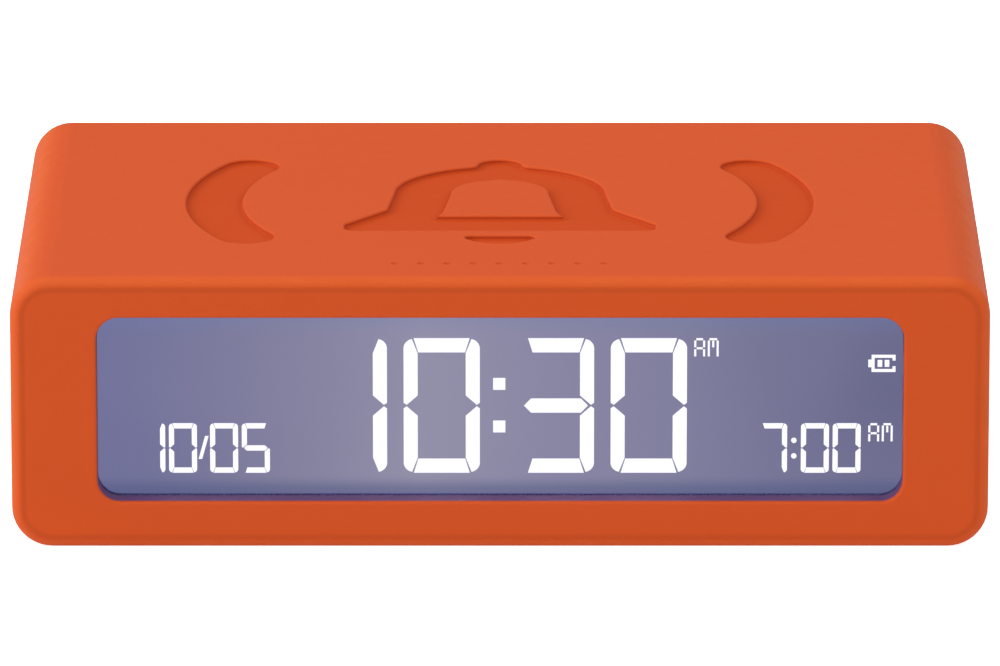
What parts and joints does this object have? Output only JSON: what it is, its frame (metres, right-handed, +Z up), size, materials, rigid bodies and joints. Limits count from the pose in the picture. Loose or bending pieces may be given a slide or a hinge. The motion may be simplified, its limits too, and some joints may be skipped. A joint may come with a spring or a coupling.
{
  "type": "travel alarm clock",
  "caption": "Brick-shaped travel alarm clock in a soft rubber sleeve, with a wide lit LCD in front and keys, sound holes and a socket at the back; turning it over stops the alarm.",
  "frame": {"origin": "centre of the bottom face, on the surface that the clock stands on", "axes": "+X to the right seen from the display, +Y from the display to the rear, +Z up"},
  "size_m": [0.082, 0.053, 0.0235],
  "materials": {
    "orange_rubber": "matte soft-touch",
    "black_plastic": "fine texture",
    "cover_plastic": "fine texture",
    "window_clear": "clear, polished",
    "black_foam": "matte",
    "polariser_film": "satin",
    "display_glass": "polished",
    "lit_segments": "lit white",
    "seal_resin": "satin",
    "white_film": "satin",
    "clear_acrylic": "clear, polished",
    "white_plastic": "moulded",
    "green_board": "solder resist",
    "zebra_rubber": "banded",
    "screw_steel": "zinc plated",
    "plated_metal": "nickel plated",
    "chip_black": "matte",
    "small_parts": "ceramic",
    "ribbon_film": "satin",
    "cream_plastic": "moulded",
    "pouch_foil": "satin",
    "red_wire": "satin",
    "black_wire": "satin",
    "copper_foil": "satin",
    "ferrite": "ground",
    "paper_cone": "fibrous",
    "button_rubber": "matte soft-touch",
    "ball_steel": "polished"
  },
  "bodies": {
    "clock_body": {"rubber_sleeve": "orange_rubber", "inner_case": "black_plastic", "rear_cover": "cover_plastic", "rear_cover_screws": "screw_steel", "display_window": "window_clear", "window_tape": "black_foam", "dust_gasket": "black_foam", "lcd_front_polariser": "polariser_film", "lcd_front_glass": "display_glass", "lcd_segments": "lit_segments", "lcd_edge_seal": "seal_resin", "lcd_rear_glass": "display_glass", "lcd_rear_polariser": "polariser_film", "diffuser_sheet": "white_film", "light_guide": "clear_acrylic", "reflector_sheet": "white_film", "backlight_leds": "white_plastic", "backlight_strip": "ribbon_film", "lcd_frame": "white_plastic", "zebra_strips": "zebra_rubber", "display_board": "green_board", "display_board_screws": "screw_steel", "controller_blob": "chip_black", "clock_crystal": "plated_metal", "display_board_parts": "small_parts", "ribbon_connectors": "cream_plastic", "ribbon_cable": "ribbon_film", "rear_board": "green_board", "rear_board_screws": "screw_steel", "rear_board_parts": "chip_black", "tact_switch_bases": "chip_black", "usb_shell": "plated_metal", "usb_tongue": "chip_black", "tilt_switch_can": "plated_metal", "tilt_switch_plug": "chip_black", "tilt_switch_pins": "plated_metal", "speaker_gasket": "black_foam", "speaker_basket": "chip_black", "speaker_magnet": "ferrite", "speaker_cone": "paper_cone", "speaker_leads": "black_wire", "battery_cell": "pouch_foil", "battery_pad": "black_foam", "battery_plug": "cream_plastic", "battery_socket": "cream_plastic", "battery_lead_red": "red_wire", "battery_lead_black": "black_wire", "touch_foil_upper": "copper_foil", "touch_foil_lower": "copper_foil", "touch_lead_upper": "black_wire", "touch_lead_lower": "black_wire"},
    "clock_key": {"clock_button": "button_rubber", "clock_plunger": "white_plastic"},
    "alarm_key": {"alarm_button": "button_rubber", "alarm_plunger": "white_plastic"},
    "minus_key": {"minus_button": "button_rubber", "minus_plunger": "white_plastic"},
    "plus_key": {"plus_button": "button_rubber", "plus_plunger": "white_plastic"},
    "tilt_ball": {"tilt_switch_ball": "ball_steel"}
  },
  "joints": [
    {"name": "clock_press", "type": "slide", "parent": "clock_body", "child": "clock_key", "axis": [0, -1, 0], "range_m": [0, 0.0004]},
    {"name": "alarm_press", "type": "slide", "parent": "clock_body", "child": "alarm_key", "axis": [0, -1, 0], "range_m": [0, 0.0004]},
    {"name": "minus_press", "type": "slide", "parent": "clock_body", "child": "minus_key", "axis": [0, -1, 0], "range_m": [0, 0.0004]},
    {"name": "plus_press", "type": "slide", "parent": "clock_body", "child": "plus_key", "axis": [0, -1, 0], "range_m": [0, 0.0004]},
    {"name": "tilt_ball_roll", "type": "slide", "parent": "clock_body", "child": "tilt_ball", "axis": [0, 0, 1], "range_m": [0, 0.002]}
  ]
}
